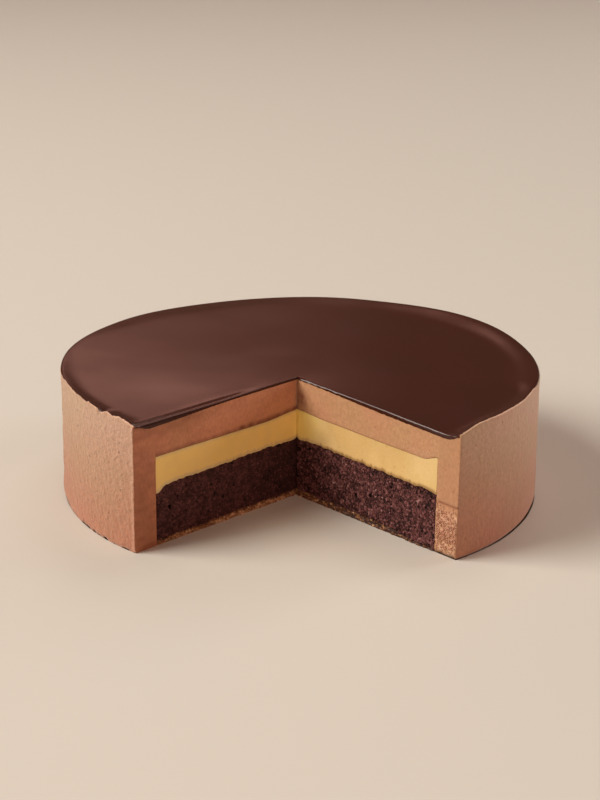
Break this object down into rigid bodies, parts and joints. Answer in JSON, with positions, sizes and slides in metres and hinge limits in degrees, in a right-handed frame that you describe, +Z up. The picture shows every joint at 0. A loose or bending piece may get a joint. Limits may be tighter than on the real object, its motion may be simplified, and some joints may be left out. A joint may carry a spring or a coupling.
{
  "type": "layered chocolate cake with a slice missing",
  "caption": "Round layered dessert cake: thin dark glaze, mousse coat, custard disc, dark sponge and thin base, with a right-angled wedge cut out.",
  "frame": {"origin": "centre of the round cake, on the flat underside it rests on", "axes": "+Z up out of the glaze, -Y out through the middle of the missing wedge, +X to the right when looking into the wedge"},
  "size_m": [0.18, 0.162, 0.0469],
  "materials": {
    "dark_glaze": "smooth satin-gloss dark chocolate glaze",
    "mousse": "matt light brown mousse, fine pores and film creases",
    "custard": "smooth satin yellow custard",
    "dark_sponge": "matt dark chocolate crumb with open pores",
    "golden_base": "matt golden brown biscuit, crumbled at the cut"
  },
  "bodies": {
    "root": {"glaze": "dark_glaze", "mousse": "mousse", "custard": "custard", "sponge": "dark_sponge", "base": "golden_base"}
  },
  "joints": []
}
